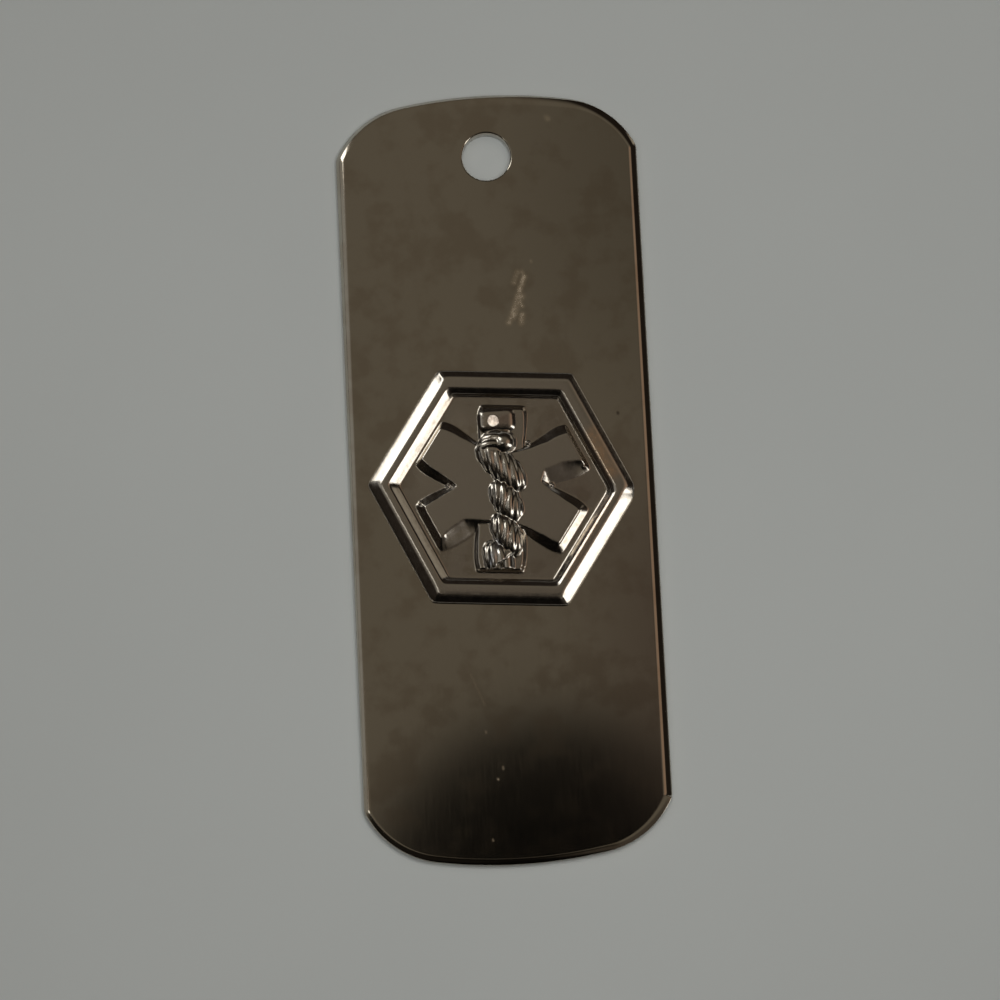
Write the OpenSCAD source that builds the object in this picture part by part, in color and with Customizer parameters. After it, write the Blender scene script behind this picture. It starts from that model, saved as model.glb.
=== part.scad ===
// Medical identification tag: a stamped steel blank with rounded ends and a chain hole,
// and a struck six-sided badge bonded to its face. The badge shows a six-armed figure
// with a knobbed staff and a serpent wound round it.
// The tag lies face up. +Y points to the hole end, and the origin is under the blank's middle.

/* [Blank] */
// Length over both rounded ends
tag_length = 50.8; // [44:0.1:60]
// Width across the parallel sides
tag_width = 19.9; // [18:0.1:24]
// Thickness of the sheet
sheet_thickness = 1; // [0.7:0.05:1.6]
// Radius of the broad arc in the middle of each end
end_radius = 32; // [24:0.5:50]
// Radius of the shoulders on both sides of that arc
shoulder_radius = 6; // [3:0.1:6.5]
// Angle that a shoulder still makes with the side where the two meet
corner_angle = 25; // [0:1:30]
// Angle by which the lower end was cut askew
lower_end_turn = 1; // [-2:0.1:2]
// Radius of the rolled edge round the face
edge_roll = 0.45; // [0.1:0.05:0.5]

/* [Hole] */
// Diameter of the chain hole
hole_d = 3.2; // [2:0.1:4.5]
// Distance from the upper end to the middle of the hole
hole_inset = 4.2; // [3.5:0.1:7]

/* [Badge] */
// Width of the badge across two opposite flats
badge_flats = 15.3; // [14.4:0.1:17]
// Turn of the badge on the blank, against the clock
badge_turn = -4; // [-10:0.5:10]
// Distance from the blank's middle down to the badge's middle
badge_drop = 0.95; // [-3:0.05:3]
// Thickness of the badge's recessed field
field_thickness = 0.25; // [0.2:0.05:0.6]
// Height of the sharp wall round the badge's foot
badge_edge = 0.1; // [0.05:0.05:0.2]
// Thickness of the bonding film between the blank and the badge
bond_gap = 0.05; // [0.02:0.01:0.15]

/* [Frame] */
// Height of the frame above the field
frame_rise = 0.4; // [0.2:0.05:0.8]
// Width of the frame's flat top
frame_top = 0.5; // [0.2:0.05:0.9]
// Width of the slope outside the flat top
outer_slope = 0.75; // [0.4:0.05:1]
// Width of the slope inside the flat top
inner_slope = 0.6; // [0.3:0.05:0.8]

/* [Six-armed figure] */
// Clear distance from the frame's foot to the end of each arm
arm_gap = 0.17; // [0.05:0.01:0.5]
// Width of an arm at its belly
arm_width = 3.66; // [3.3:0.02:4]
// Distance from the middle to the belly of an arm
belly_reach = 4.3; // [3.9:0.05:4.6]
// Width of an arm where it leaves its neighbours
neck_width = 3.4; // [2.8:0.02:3.6]
// Width of an arm at its end
end_width = 3.2; // [2.8:0.02:3.6]
// Radius of an arm's corners in plan
arm_corner = 0.4; // [0.3:0.02:0.6]
// Height of the figure above the field
figure_rise = 0.2; // [0.1:0.02:0.4]
// Width of the slope along the figure's edge
figure_slope = 0.26; // [0.1:0.02:0.28]

/* [Staff] */
// Diameter of the staff
staff_d = 1; // [0.6:0.05:1.2]
// Height of the staff above the figure
staff_rise = 0.2; // [0.1:0.02:0.3]
// Lean of the staff against the clock
staff_lean = 4.8; // [0:0.2:8]
// Width of the knob at the staff's head
knob_width = 2.5; // [1.8:0.05:2.8]
// Length of the knob along the staff
knob_length = 1.9; // [1.4:0.05:2.2]
// Radius of the knob's corners
knob_round = 0.5; // [0.3:0.05:0.65]
// Height of the knob above the figure
knob_rise = 0.36; // [0.2:0.02:0.6]

/* [Serpent] */
// Width of the body at the neck
neck_d = 1.7; // [1.2:0.05:1.8]
// Width of the body where it ends
tail_d = 1; // [0.5:0.05:1.2]
// Sideways reach of the body's middle line in the uppermost coil
upper_reach = 0.95; // [0.6:0.05:1.1]
// Sideways reach of the body's middle line in the lower coils
lower_reach = 0.45; // [0.3:0.05:0.7]
// Sideways reach of the tail's tip
tail_reach = 0.9; // [0.5:0.05:1]
// Slant of the coils across the staff: the drop for each unit of width, besides the winding
coil_slant = 0.8; // [0:0.05:1]
// Times that the serpent passes over the front of the staff
front_turns = 3; // [2:1:4]
// Height of the serpent above the figure
serpent_rise = 0.42; // [0.25:0.02:0.6]
// Width of the head
head_width = 1.7; // [1:0.05:1.8]
// Length of the head
head_length = 1.6; // [1:0.05:1.8]
// Distance from the staff's middle line to the head's middle, to the right
head_offset = 0.3; // [0:0.05:0.5]

/* [Hidden] */
eps = 0.01;

// Heights above the underside of the badge
field_z = field_thickness;
frame_z = field_z + frame_rise;
figure_z = field_z + figure_rise;

// Distances from the badge's middle, square to its flats
outer_foot = badge_flats / 2;
outer_top = outer_foot - outer_slope;
inner_top = outer_top - frame_top;
inner_foot = inner_top - inner_slope;
arm_reach = inner_foot - arm_gap;

// A point turned about the middle by an angle
function rotated(p, a) = [p[0] * cos(a) - p[1] * sin(a), p[0] * sin(a) + p[1] * cos(a)];

// Rises smoothly from 0 to 1 as t goes from 0 to 1
function s_curve(t) = (1 - cos(180 * t)) / 2;

// Goes from a to b as t goes from 0 to 1
function blend(a, b, t) = a + (b - a) * t;

// One end of the blank

shoulder_x = tag_width / 2 - shoulder_radius * cos(corner_angle);
end_middle_y = tag_length / 2 - end_radius;
shoulder_y = end_middle_y + sqrt(pow(end_radius - shoulder_radius, 2) - pow(shoulder_x, 2));
meeting_angle = atan2(shoulder_y - end_middle_y, shoulder_x);
shoulder_steps = 14;
end_steps = 16;

// Points on a circle from one angle to another
function arc(middle, r, from, to, steps) =
    [for (i = [0 : steps]) let (a = blend(from, to, i / steps)) middle + r * [cos(a), sin(a)]];

// Everything below the upper end's outline, wider than the blank
module end_form() {
    polygon(concat(
        [[tag_width, shoulder_y - tag_length], [tag_width, shoulder_y]],
        arc([shoulder_x, shoulder_y], shoulder_radius, 0, meeting_angle, shoulder_steps),
        arc([0, end_middle_y], end_radius, meeting_angle, 180 - meeting_angle, end_steps),
        arc([-shoulder_x, shoulder_y], shoulder_radius, 180 - meeting_angle, 180, shoulder_steps),
        [[-tag_width, shoulder_y], [-tag_width, shoulder_y - tag_length]]));
}

// The half of the blank above its middle, with its end turned about the line of the shoulders
module half_blank(turn) {
    intersection() {
        translate([-tag_width / 2, -eps]) square([tag_width, tag_length]);
        translate([0, shoulder_y]) rotate(turn) translate([0, -shoulder_y]) end_form();
    }
}

module blank_outline() {
    half_blank(0);
    mirror([0, 1]) half_blank(-lower_end_turn);
}

// The sheet with its face's edge rolled over, and the chain hole punched through it
module tag_plate() {
    roll_steps = 5;
    color("#857c6b")
    difference() {
        hull() {
            linear_extrude(sheet_thickness - edge_roll) blank_outline();
            for (i = [1 : roll_steps]) {
                a = 90 * i / roll_steps;
                translate([0, 0, sheet_thickness - edge_roll + edge_roll * sin(a) - eps])
                linear_extrude(eps) offset(delta = -edge_roll * (1 - cos(a))) blank_outline();
            }
        }
        translate([0, tag_length / 2 - hole_inset, -1]) {
            cylinder(d = hole_d, h = sheet_thickness + 2, $fn = 64);
        }
    }
}

// The badge's body with its raised frame: a profile turned into a six-sided ring

slope_steps = 6;
outer_profile = [for (i = [0 : slope_steps]) let (t = i / slope_steps)
    [blend(outer_foot, outer_top, t), blend(badge_edge, frame_z, s_curve(t))]];
inner_profile = [for (i = [0 : slope_steps]) let (t = i / slope_steps)
    [blend(inner_top, inner_foot, t), blend(frame_z, field_z, s_curve(t))]];

module framed_body() {
    section = concat([[0, 0], [outer_foot, 0]], outer_profile, inner_profile, [[0, field_z]]);
    rotate_extrude($fn = 6) polygon([for (p = section) [p[0] / cos(30), p[1]]]);
}

// The six-armed figure: rings of its outline, drawn in step by step as they rise.
// A point of half an arm is its reach from the middle and its distance from the arm's middle line

side_steps = 6;
corner_steps = 3;
neck_reach = neck_width / 2 / tan(30);

function half_width(reach) = reach < belly_reach
    ? blend(arm_width, neck_width, pow((belly_reach - reach) / (belly_reach - neck_reach), 2)) / 2
    : blend(arm_width, end_width, pow((reach - belly_reach) / (arm_reach - belly_reach), 2)) / 2;

arm_side = [for (i = [0 : side_steps])
    let (reach = blend(neck_reach, arm_reach - arm_corner, i / side_steps)) [reach, half_width(reach)]];
arm_end = [for (i = [1 : corner_steps]) let (a = 90 * i / corner_steps)
    [arm_reach - arm_corner * (1 - sin(a)), half_width(arm_reach - arm_corner) - arm_corner * (1 - cos(a))]];
half_arm = concat(arm_side, arm_end);

// Against the clock round an arm, leaving out the last point, which the next arm begins with
function whole_arm() = concat(
    [for (p = half_arm) [p[0], -p[1]]],
    [for (i = [len(half_arm) - 1 : -1 : 1]) half_arm[i]]);
figure_outline = [for (k = [0 : 5]) for (p = whole_arm()) rotated(p, 30 + 60 * k)];

function left_normal(a, b) = let (d = b - a) [-d[1], d[0]] / norm(d);

// The outline moved inwards by a distance, mitred at its corners
function drawn_in(pts, distance) = [for (i = [0 : len(pts) - 1])
    let (n = len(pts),
         before = left_normal(pts[(i + n - 1) % n], pts[i]),
         after = left_normal(pts[i], pts[(i + 1) % n]))
    pts[i] + distance * (before + after) / (1 + before * after)];

module figure() {
    rings = 4;
    count = len(figure_outline);
    foot = [for (p = figure_outline) [p[0], p[1], field_z / 2]];
    slope = [for (r = [0 : rings]) let (t = r / rings)
        for (p = drawn_in(figure_outline, figure_slope * t)) [p[0], p[1], field_z + figure_rise * s_curve(t)]];
    middle = [[0, 0, field_z / 2], [0, 0, figure_z]];
    levels = rings + 2;
    top = (levels - 1) * count;
    walls = [for (r = [0 : levels - 2]) for (i = [0 : count - 1]) let (j = (i + 1) % count)
        each [[r * count + i, (r + 1) * count + i, (r + 1) * count + j],
              [r * count + i, (r + 1) * count + j, r * count + j]]];
    lids = [for (i = [0 : count - 1]) let (j = (i + 1) % count)
        each [[levels * count, i, j], [levels * count + 1, top + j, top + i]]];
    polyhedron(concat(foot, slope, middle), concat(walls, lids));
}

// The staff and its knob, in the leaning frame that the serpent shares

staff_foot = -arm_reach * cos(staff_lean) + figure_slope;
knob_top = arm_reach * cos(staff_lean) - figure_slope / 2;
knob_middle = knob_top - knob_length / 2;

module staff() {
    intersection() {
        translate([0, knob_middle, figure_z + staff_rise - staff_d / 2]) rotate([90, 0, 0]) {
            cylinder(d = staff_d, h = knob_middle - staff_foot, $fn = 24);
        }
        translate([-staff_d, -tag_width / 2, field_z / 2]) cube([2 * staff_d, tag_width, figure_z + staff_rise]);
    }
}

// A block with rounded corners under a dome, which ends in a small flat crown
module knob() {
    crown_share = 0.35;
    dome_steps = 4;
    block_rise = figure_rise / 2;
    corner = [knob_width / 2 - knob_round, knob_length / 2 - knob_round];
    hull() {
        for (x = [-1, 1], y = [-1, 1]) {
            translate([x * corner[0], knob_middle + y * corner[1], field_z]) {
                cylinder(r = knob_round, h = block_rise, $fn = 24);
            }
        }
        translate([0, knob_middle, figure_z - eps]) {
            for (i = [1 : dome_steps]) {
                a = 90 * i / dome_steps;
                across = blend(crown_share, 1, cos(a));
                translate([0, 0, knob_rise * sin(a)])
                scale([knob_width * across, knob_length * across])
                cylinder(d = 1, h = eps, $fn = 32);
            }
        }
    }
}

// The serpent's middle line sweeps down to the right in front of the staff, and back to the left
// behind it, sunk into the figure. At a turn angle of 90 it passes over the staff for the first time

front_angle = 90;
tail_turn = 60;
last_angle = 360 * front_turns + tail_turn;
neck_angle = -front_angle;
steps_per_turn = 18;
// Height of the body's section for each unit of its width
flatness = 0.45;
// Depth to which the top of the body sinks below the figure behind the staff
sink = 0.03;
// Shares of the way to the tail at which the head's offset has gone, the wide upper coil has
// narrowed, and the tail starts to reach out again
offset_share = 0.17;
upper_share = 0.3;
tail_share = 0.85;
// Parts of the body's width that it loses behind the staff and at the tail's tip
back_loss = 0.4;
tip_loss = 0.4;
tip_power = 30;

// Share of the head's length between its middle and the knob
head_share = 0.4;
// Height of the tail's tip above the staff's foot, in widths of the tail
tail_lift = 1.3;

neck_drop = head_length / 4;
head_y = knob_middle - knob_length / 2 - head_share * head_length;
coil_top = head_y - neck_drop - coil_slant * upper_reach;
coil_foot = staff_foot + tail_lift * tail_d - coil_slant * tail_reach;
coil_drop = (coil_top - coil_foot) / front_turns;

// How far the body is to the front: 1 before the staff, -1 behind it. The neck stays in front
function front(a) = a < 0 ? -sin(a) : sin(a);

// How far the body is sunk: 0 before the staff, 1 behind it
function sunk(a) = (1 - front(a)) / 2;

// Share of the way from the neck to the tail
function share(a) = max(0, a / last_angle);

function body_d(a) = blend(neck_d, tail_d, share(a)) * (1 - back_loss * sunk(a))
    * (1 - tip_loss * pow(share(a), tip_power));
function reach(a) = share(a) < tail_share
    ? blend(upper_reach, lower_reach, s_curve(min(1, share(a) / upper_share)))
    : blend(lower_reach, tail_reach, s_curve((share(a) - tail_share) / (1 - tail_share)));
function rise_to_neck(a) = a < 0 ? neck_drop * s_curve(a / neck_angle) : 0;
function slant(a) = coil_slant * reach(a) * (a < 0 ? 1 : cos(a)) + rise_to_neck(a);
function line_offset(a) = head_offset * s_curve(min(1, share(a) / offset_share)) * (1 - share(a));
function middle_line(a) = [
    line_offset(a) - reach(a) * cos(a),
    coil_top - coil_drop * max(0, a) / 360 + slant(a),
    figure_z + serpent_rise - flatness * body_d(a) / 2 - (serpent_rise + sink) * sunk(a)];

module bead(a) {
    translate(middle_line(a)) scale([body_d(a), body_d(a), body_d(a) * flatness]) sphere(d = 1, $fn = 14);
}

module serpent_body() {
    step = 360 / steps_per_turn;
    for (a = [neck_angle : step : last_angle - step]) {
        hull() {
            bead(a);
            bead(a + step);
        }
    }
}

module serpent_head() {
    translate([head_offset, head_y, figure_z]) {
        scale([head_width, head_length, 2 * (serpent_rise + sink)]) sphere(d = 1, $fn = 20);
    }
}

// The whole badge on its bonding film, turned as it sits on the blank
module emblem() {
    color("#b5ab9b")
    translate([0, -badge_drop, sheet_thickness + bond_gap]) rotate(badge_turn) {
        framed_body();
        figure();
        rotate(staff_lean) {
            staff();
            knob();
            serpent_body();
            serpent_head();
        }
    }
}

tag_plate();
emblem();
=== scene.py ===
import math

import bmesh
import bpy
from mathutils import Matrix, Vector


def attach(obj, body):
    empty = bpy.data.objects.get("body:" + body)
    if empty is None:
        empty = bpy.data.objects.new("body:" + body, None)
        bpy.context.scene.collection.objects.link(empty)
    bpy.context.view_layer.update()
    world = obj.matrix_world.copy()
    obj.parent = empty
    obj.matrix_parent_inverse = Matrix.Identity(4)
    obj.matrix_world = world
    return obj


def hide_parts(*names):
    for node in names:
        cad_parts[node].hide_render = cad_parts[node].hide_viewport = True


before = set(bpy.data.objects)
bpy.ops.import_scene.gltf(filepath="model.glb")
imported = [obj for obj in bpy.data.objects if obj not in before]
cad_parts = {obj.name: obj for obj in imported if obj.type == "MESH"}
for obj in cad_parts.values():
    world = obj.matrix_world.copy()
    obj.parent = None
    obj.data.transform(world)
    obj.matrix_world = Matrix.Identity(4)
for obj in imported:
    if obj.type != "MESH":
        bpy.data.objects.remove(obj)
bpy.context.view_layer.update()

bl_info = {
    "name": "Medical identification tag",
    "version": (1, 0, 0),
    "blender": (4, 5, 0),
    "location": "View3D > Sidebar > Tag",
    "description": "Dresses the tag's packed frame: a rolled steel blank with a struck badge",
    "category": "Object",
}

# Pieces are shaped in millimetres and shrunk to metres when they are finished
MM = 0.001
# Height of the blank's face over the floor, in millimetres
FACE_HEIGHT = 1.0


def length(name, description, default):
    """A property in metres that the sidebar shows as a length."""
    return bpy.props.FloatProperty(
        name=name, description=description, default=default * MM, precision=5,
        subtype="DISTANCE", unit="LENGTH",
    )


def angle(name, description, default):
    """A property in radians that the sidebar shows in degrees."""
    return bpy.props.FloatProperty(
        name=name, description=description, default=math.radians(default),
        subtype="ANGLE", unit="ROTATION",
    )


def colour(name, description, default):
    """A linear colour property."""
    return bpy.props.FloatVectorProperty(
        name=name, description=description, default=default, size=3, min=0.0, max=1.0,
        subtype="COLOR",
    )


def factor(name, description, default):
    """A plain number property from 0 to 1."""
    return bpy.props.FloatProperty(
        name=name, description=description, default=default, min=0.0, max=1.0, subtype="FACTOR",
    )


class BlankSettings(bpy.types.PropertyGroup):
    """Sizes and colours of the stamped blank."""

    tag_length: length("Length", "Length over both rounded ends", 50.8)
    tag_width: length("Width", "Width across the parallel sides", 19.9)
    sheet: length("Sheet", "Thickness of the sheet", FACE_HEIGHT)
    end_radius: length("End radius", "Radius of the broad arc of each end", 32.0)
    shoulder_radius: length("Shoulder radius", "Radius of the shoulders beside that arc", 6.0)
    corner_angle: angle("Corner angle", "Angle between a shoulder and the side", 25.0)
    lower_turn: angle("Lower end's turn", "Angle by which the lower end was cut askew", 1.0)
    roll: length("Rolled edge", "Width of the rolled edge on the right side", 0.58)
    lip: length("Sheared lip", "Width of the steep lip outside the roll at the upper left", 0.24)
    nick: length("Corner", "Length by which the blank's four corners are rubbed round", 0.2)
    burr: length("Back edge", "Width of the bevel round the back", 0.06)
    hole: length("Hole", "Diameter of the chain hole", 3.2)
    hole_inset: length("Hole inset", "Distance from the upper end to the hole's middle", 4.2)
    hole_lip: length("Hole lip", "Width of the rounding at the hole's rim", 0.1)
    steel: colour("Steel", "Colour of the clean steel", (0.50, 0.46, 0.39))
    tarnish: colour("Tarnish", "Colour of the steel where it has dulled", (0.44, 0.39, 0.32))
    roughness: factor("Roughness", "Roughness of the rolled face", 0.07)


class BadgeSettings(bpy.types.PropertyGroup):
    """Sizes and colours of the struck badge."""

    turn: angle("Turn", "Turn of the badge on the blank, against the clock", -4.0)
    drop: length("Drop", "Distance from the blank's middle down to the badge's middle", 0.95)
    gap: length("Bonding film", "Thickness of the film under the badge", 0.05)
    figure_top: length("Figure height", "Height of the six-armed figure", 0.47)
    field_rise: length("Field's rise", "Rise of the recessed field towards the middle", 0.14)
    arm_reach: length("Arm reach", "Distance from the middle to an arm's end", 5.63)
    arm_width: length("Arm width", "Width of an arm at its belly", 3.66)
    lean: angle("Staff's lean", "Lean of the staff against the clock", 4.8)
    staff: length("Staff", "Diameter of the staff", 1.0)
    body: length("Serpent", "Width of the serpent's body at the neck", 1.9)
    tail: length("Tail", "Width of the serpent's body at the tail", 1.65)
    scale_rows: bpy.props.IntProperty(
        name="Scale rows", description="Rows of scales round the serpent's body", default=8, min=4)
    scale_depth: factor("Scale depth", "Depth of the grooves as a share of the body", 0.16)
    scale_twist: factor("Scale twist", "Slant of the grooves to the body, as a tangent", 0.95)
    grain: length("Remesh size", "Edge length of the fused relief's faces", 0.057)
    steel: colour("Steel", "Colour of the polished relief", (0.56, 0.52, 0.46))
    grime: colour("Grime", "Colour of the dull steel down in the field", (0.46, 0.41, 0.34))
    roughness: factor("Roughness", "Roughness of the polished relief", 0.16)


class StageSettings(bpy.types.PropertyGroup):
    """The floor, the lights and the camera."""

    floor: colour("Floor", "Colour of the pale floor", (0.70, 0.715, 0.70))
    ceiling: colour("Ceiling", "Warm dim light straight above", (0.156, 0.136, 0.107))
    focal: bpy.props.FloatProperty(
        name="Lens", description="Focal length of the camera on a 36 mm sensor",
        default=120.0, subtype="DISTANCE_CAMERA", unit="CAMERA",
    )
    tilt: angle("Tilt", "Tilt of the view from straight above", -7.689)
    roll: angle("Roll", "Turn of the tag in the view", 2.813)


# Shaping by hand: selecting in code, then the modelling operators


def deselect():
    """Leaves edit mode and nothing selected."""
    if bpy.context.object and bpy.context.object.mode != "OBJECT":
        bpy.ops.object.mode_set(mode="OBJECT")
    bpy.ops.object.select_all(action="DESELECT")


def work_on(obj):
    """Makes obj the one selected and active object."""
    deselect()
    obj.select_set(True)
    bpy.context.view_layer.objects.active = obj
    return obj


def edit(obj):
    """Opens obj for editing, with nothing selected in it."""
    work_on(obj)
    bpy.ops.object.mode_set(mode="EDIT")
    bpy.ops.mesh.select_all(action="DESELECT")


def close_edit():
    bpy.ops.object.mode_set(mode="OBJECT")


def apply_place():
    """Moves the place, turn and scale of the selected object into its mesh."""
    bpy.ops.object.transform_apply(location=True, rotation=True, scale=True)


def pick_all():
    """Selects all of the open mesh."""
    bpy.ops.mesh.select_all(action="SELECT")


def pick(kind, test):
    """Selects the vertices, edges or faces of the open mesh that pass the test, and no others."""
    bpy.ops.mesh.select_mode(type=kind)
    bpy.ops.mesh.select_all(action="DESELECT")
    mesh = bpy.context.object.data
    cage = bmesh.from_edit_mesh(mesh)
    items = {"VERT": cage.verts, "EDGE": cage.edges, "FACE": cage.faces}[kind]
    for item in items:
        if test(item):
            item.select_set(True)
    if kind == "VERT":
        cage.select_flush(True)
    else:
        cage.select_flush_mode()
    bmesh.update_edit_mesh(mesh)


def named(name):
    """Gives the new primitive its name and applies its place, turn and scale."""
    obj = bpy.context.object
    obj.name = obj.data.name = name
    apply_place()
    return obj


def apply_modifier(obj, kind, **values):
    """Adds a modifier to obj, sets it and applies it."""
    work_on(obj)
    modifier = obj.modifiers.new(kind.title(), kind)
    for key, value in values.items():
        setattr(modifier, key, value)
    bpy.ops.object.modifier_apply(modifier=modifier.name)


def join(name, pieces):
    """Joins pieces into one object."""
    deselect()
    for piece in pieces:
        piece.select_set(True)
    bpy.context.view_layer.objects.active = pieces[0]
    bpy.ops.object.join()
    obj = bpy.context.object
    obj.name = obj.data.name = name
    return obj


def settle(obj, turn=0.0, place=(0.0, 0.0, 0.0)):
    """Cuts a finished piece into smooth triangles, turns it, puts it in its place and shrinks it
    to metres, all in its mesh."""
    apply_modifier(obj, "TRIANGULATE")
    bpy.ops.object.shade_smooth()
    obj.matrix_world = (
        Matrix.Scale(MM, 4) @ Matrix.Translation(place) @ Matrix.Rotation(turn, 4, "Z")
    )
    apply_place()
    return obj


def dress(obj, material, nodes):
    """Paints a finished piece and ties it to the frame."""
    obj.data.materials.clear()
    obj.data.materials.append(material)
    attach(obj, "root")
    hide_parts(*nodes)


# Shader groups


class Tree:
    """Adds nodes to a tree and links them, with constants set on the sockets."""

    def __init__(self, tree):
        self.tree = tree

    def add(self, kind, inputs=None, **values):
        node = self.tree.nodes.new(kind)
        for key, value in values.items():
            setattr(node, key, value)
        for key, value in (inputs or {}).items():
            socket = node.inputs[key]
            if isinstance(value, bpy.types.NodeSocket):
                self.tree.links.new(value, socket)
            else:
                socket.default_value = value
        return node

    def math(self, operation, a, b, clamp=False):
        return self.add(
            "ShaderNodeMath", {0: a, 1: b}, operation=operation, use_clamp=clamp
        ).outputs[0]

    def vector(self, operation, a, b=(0.0, 0.0, 0.0), output=0):
        return self.add(
            "ShaderNodeVectorMath", {0: a, 1: b}, operation=operation
        ).outputs[output]

    def ramp(self, value, low, high, to_low=0.0, to_high=1.0):
        return self.add(
            "ShaderNodeMapRange",
            {"Value": value, "From Min": low, "From Max": high,
             "To Min": to_low, "To Max": to_high},
            interpolation_type="SMOOTHSTEP",
        ).outputs["Result"]

    def mix(self, share, a, b):
        # On a colour mix, socket 6 is A, socket 7 is B and output 2 is the colour
        inputs = {0: share}
        for socket, value in ((6, a), (7, b)):
            linked = isinstance(value, bpy.types.NodeSocket)
            inputs[socket] = value if linked else (*value, 1.0)
        return self.add("ShaderNodeMix", inputs, data_type="RGBA", clamp_factor=True).outputs[2]

    def noise(self, vector, scale, detail, rough):
        return self.add(
            "ShaderNodeTexNoise",
            {"Vector": vector, "Scale": scale, "Detail": detail, "Roughness": rough},
            noise_dimensions="3D",
        ).outputs[0]


def group(name, inputs, outputs, build):
    """A shader node group with named sockets, made by build(tree, inputs, outputs)."""
    tree = bpy.data.node_groups.new(name, "ShaderNodeTree")
    for kind, direction in ((inputs, "INPUT"), (outputs, "OUTPUT")):
        for socket, (socket_type, default) in kind.items():
            made = tree.interface.new_socket(
                name=socket, in_out=direction, socket_type="NodeSocket" + socket_type
            )
            if default is not None:
                made.default_value = default
    hand = Tree(tree)
    source = tree.nodes.new("NodeGroupInput")
    sink = tree.nodes.new("NodeGroupOutput")
    for socket, value in build(hand, source.outputs).items():
        tree.links.new(value, sink.inputs[socket])
    return tree


def rolled_grain(t, given):
    """Fine lines along the sheet, from the rolls that made it."""
    stretched = t.vector("MULTIPLY", given["Vector"], given["Pitch"])
    lines = t.noise(stretched, scale=1.0, detail=2.0, rough=0.6)
    return {"Lines": lines, "Height": t.math("SUBTRACT", lines, 0.5)}


def blotches(t, given):
    """Soft patches where the steel has dulled."""
    broad = t.noise(given["Vector"], given["Scale"], detail=4.0, rough=0.55)
    return {"Mask": t.ramp(broad, given["From"], given["To"])}


def stroke(t, given):
    """A streaky stroke between two points, strongest along its middle line, for the scratches and
    marks, the painted highlight among them.
    """
    along = t.vector("SUBTRACT", given["To"], given["From"])
    point = t.vector("SUBTRACT", given["Vector"], given["From"])
    span = t.vector("DOT_PRODUCT", along, along, output=1)
    share = t.math("DIVIDE", t.vector("DOT_PRODUCT", point, along, output=1), span, clamp=True)
    scaled = t.add("ShaderNodeVectorMath", {0: along, 3: share}, operation="SCALE").outputs[0]
    away = t.vector("LENGTH", t.vector("SUBTRACT", point, scaled), output=1)
    core = t.ramp(away, given["Width"], 0.0)
    grit = t.noise(given["Vector"], given["Grit"], detail=2.0, rough=0.6)
    streaks = t.ramp(grit, 0.35, 0.65, to_low=0.55, to_high=0.9)
    return {"Mask": t.math("MULTIPLY", t.math("POWER", core, 1.6), streaks)}


def fine_scratches(t, given):
    """Sparse hair lines in one direction."""
    turned = t.add(
        "ShaderNodeVectorRotate", {"Vector": given["Vector"], "Angle": given["Angle"]},
        rotation_type="Z_AXIS",
    ).outputs[0]
    stretched = t.vector("MULTIPLY", turned, given["Pitch"])
    hairs = t.noise(stretched, scale=1.0, detail=1.0, rough=0.4)
    return {"Mask": t.ramp(hairs, given["From"], given["To"])}


def build_groups():
    """The effects that the steel materials share."""
    vector = ("Vector", None)
    return {
        "grain": group(
            "Rolled grain", {"Vector": vector, "Pitch": ("Vector", (8000.0, 450.0, 2000.0))},
            {"Lines": ("Float", None), "Height": ("Float", None)}, rolled_grain),
        "blotches": group(
            "Dull blotches",
            {"Vector": vector, "Scale": ("Float", 500.0), "From": ("Float", 0.45),
             "To": ("Float", 0.65)},
            {"Mask": ("Float", None)}, blotches),
        "stroke": group(
            "Streaky stroke",
            {"Vector": vector, "From": vector, "To": vector, "Width": ("Float", 0.0001),
             "Grit": ("Float", 2200.0)},
            {"Mask": ("Float", None)}, stroke),
        "hair": group(
            "Hair scratches",
            {"Vector": vector, "Angle": ("Float", 0.0), "Pitch": ("Vector", (9000.0, 150.0, 1.0)),
             "From": ("Float", 0.70), "To": ("Float", 0.78)},
            {"Mask": ("Float", None)}, fine_scratches),
    }


def use(t, tree, **inputs):
    """Places a group in a material."""
    return t.add("ShaderNodeGroup", inputs, node_tree=tree).outputs


def new_material(name):
    """A material with its Principled shader, and the Object coordinates."""
    material = bpy.data.materials.new(name)
    material.use_nodes = True
    t = Tree(material.node_tree)
    shader = material.node_tree.nodes["Principled BSDF"]
    shader.inputs["Metallic"].default_value = 1.0
    where = t.add("ShaderNodeTexCoord").outputs["Object"]
    return material, t, shader, where


# Scratches on the blank's face: from, to and width in millimetres, and strength. The scratches are
# real wear; their colour, lighter than the steel's, is a painted highlight
FACE_SCRATCHES = (
    ((2.07, 12.99), (1.21, 10.48), 0.40, 1.0),
    ((1.80, 11.70), (1.25, 10.40), 0.55, 0.9),
    ((1.69, 13.31), (1.43, 12.68), 0.40, 0.7),
    ((1.95, 13.35), (2.15, 12.95), 0.32, 0.6),
    ((1.82, 10.45), (1.74, 9.92), 0.42, 0.9),
    ((1.10, 10.30), (0.95, 9.98), 0.40, 0.8),
    ((1.75, 11.33), (1.86, 11.05), 0.32, 0.8),
    ((2.60, 14.05), (2.62, 13.98), 0.20, 0.5),
    ((4.10, 23.68), (4.20, 23.56), 0.36, 0.5),
    ((-1.23, -19.84), (-1.20, -19.90), 0.15, 0.7),
    ((-0.87, -19.10), (-0.86, -19.22), 0.15, 0.6),
    ((-1.86, -16.76), (-1.85, -16.84), 0.16, 0.5),
    ((-1.74, -23.72), (-1.73, -23.80), 0.15, 0.6),
    ((-2.65, -13.06), (-1.84, -15.04), 0.20, 0.3),
)
# The one dark speck, from and to, with its width
DARK_SPECK = ((7.78, 3.66), (7.79, 3.60), 0.20)
# The scratches' colour, lighter than the steel's: a painted highlight on real wear
SCRATCH_GLEAM = (1.0, 0.88, 0.70)
DIRT = (0.08, 0.06, 0.05)


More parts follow.
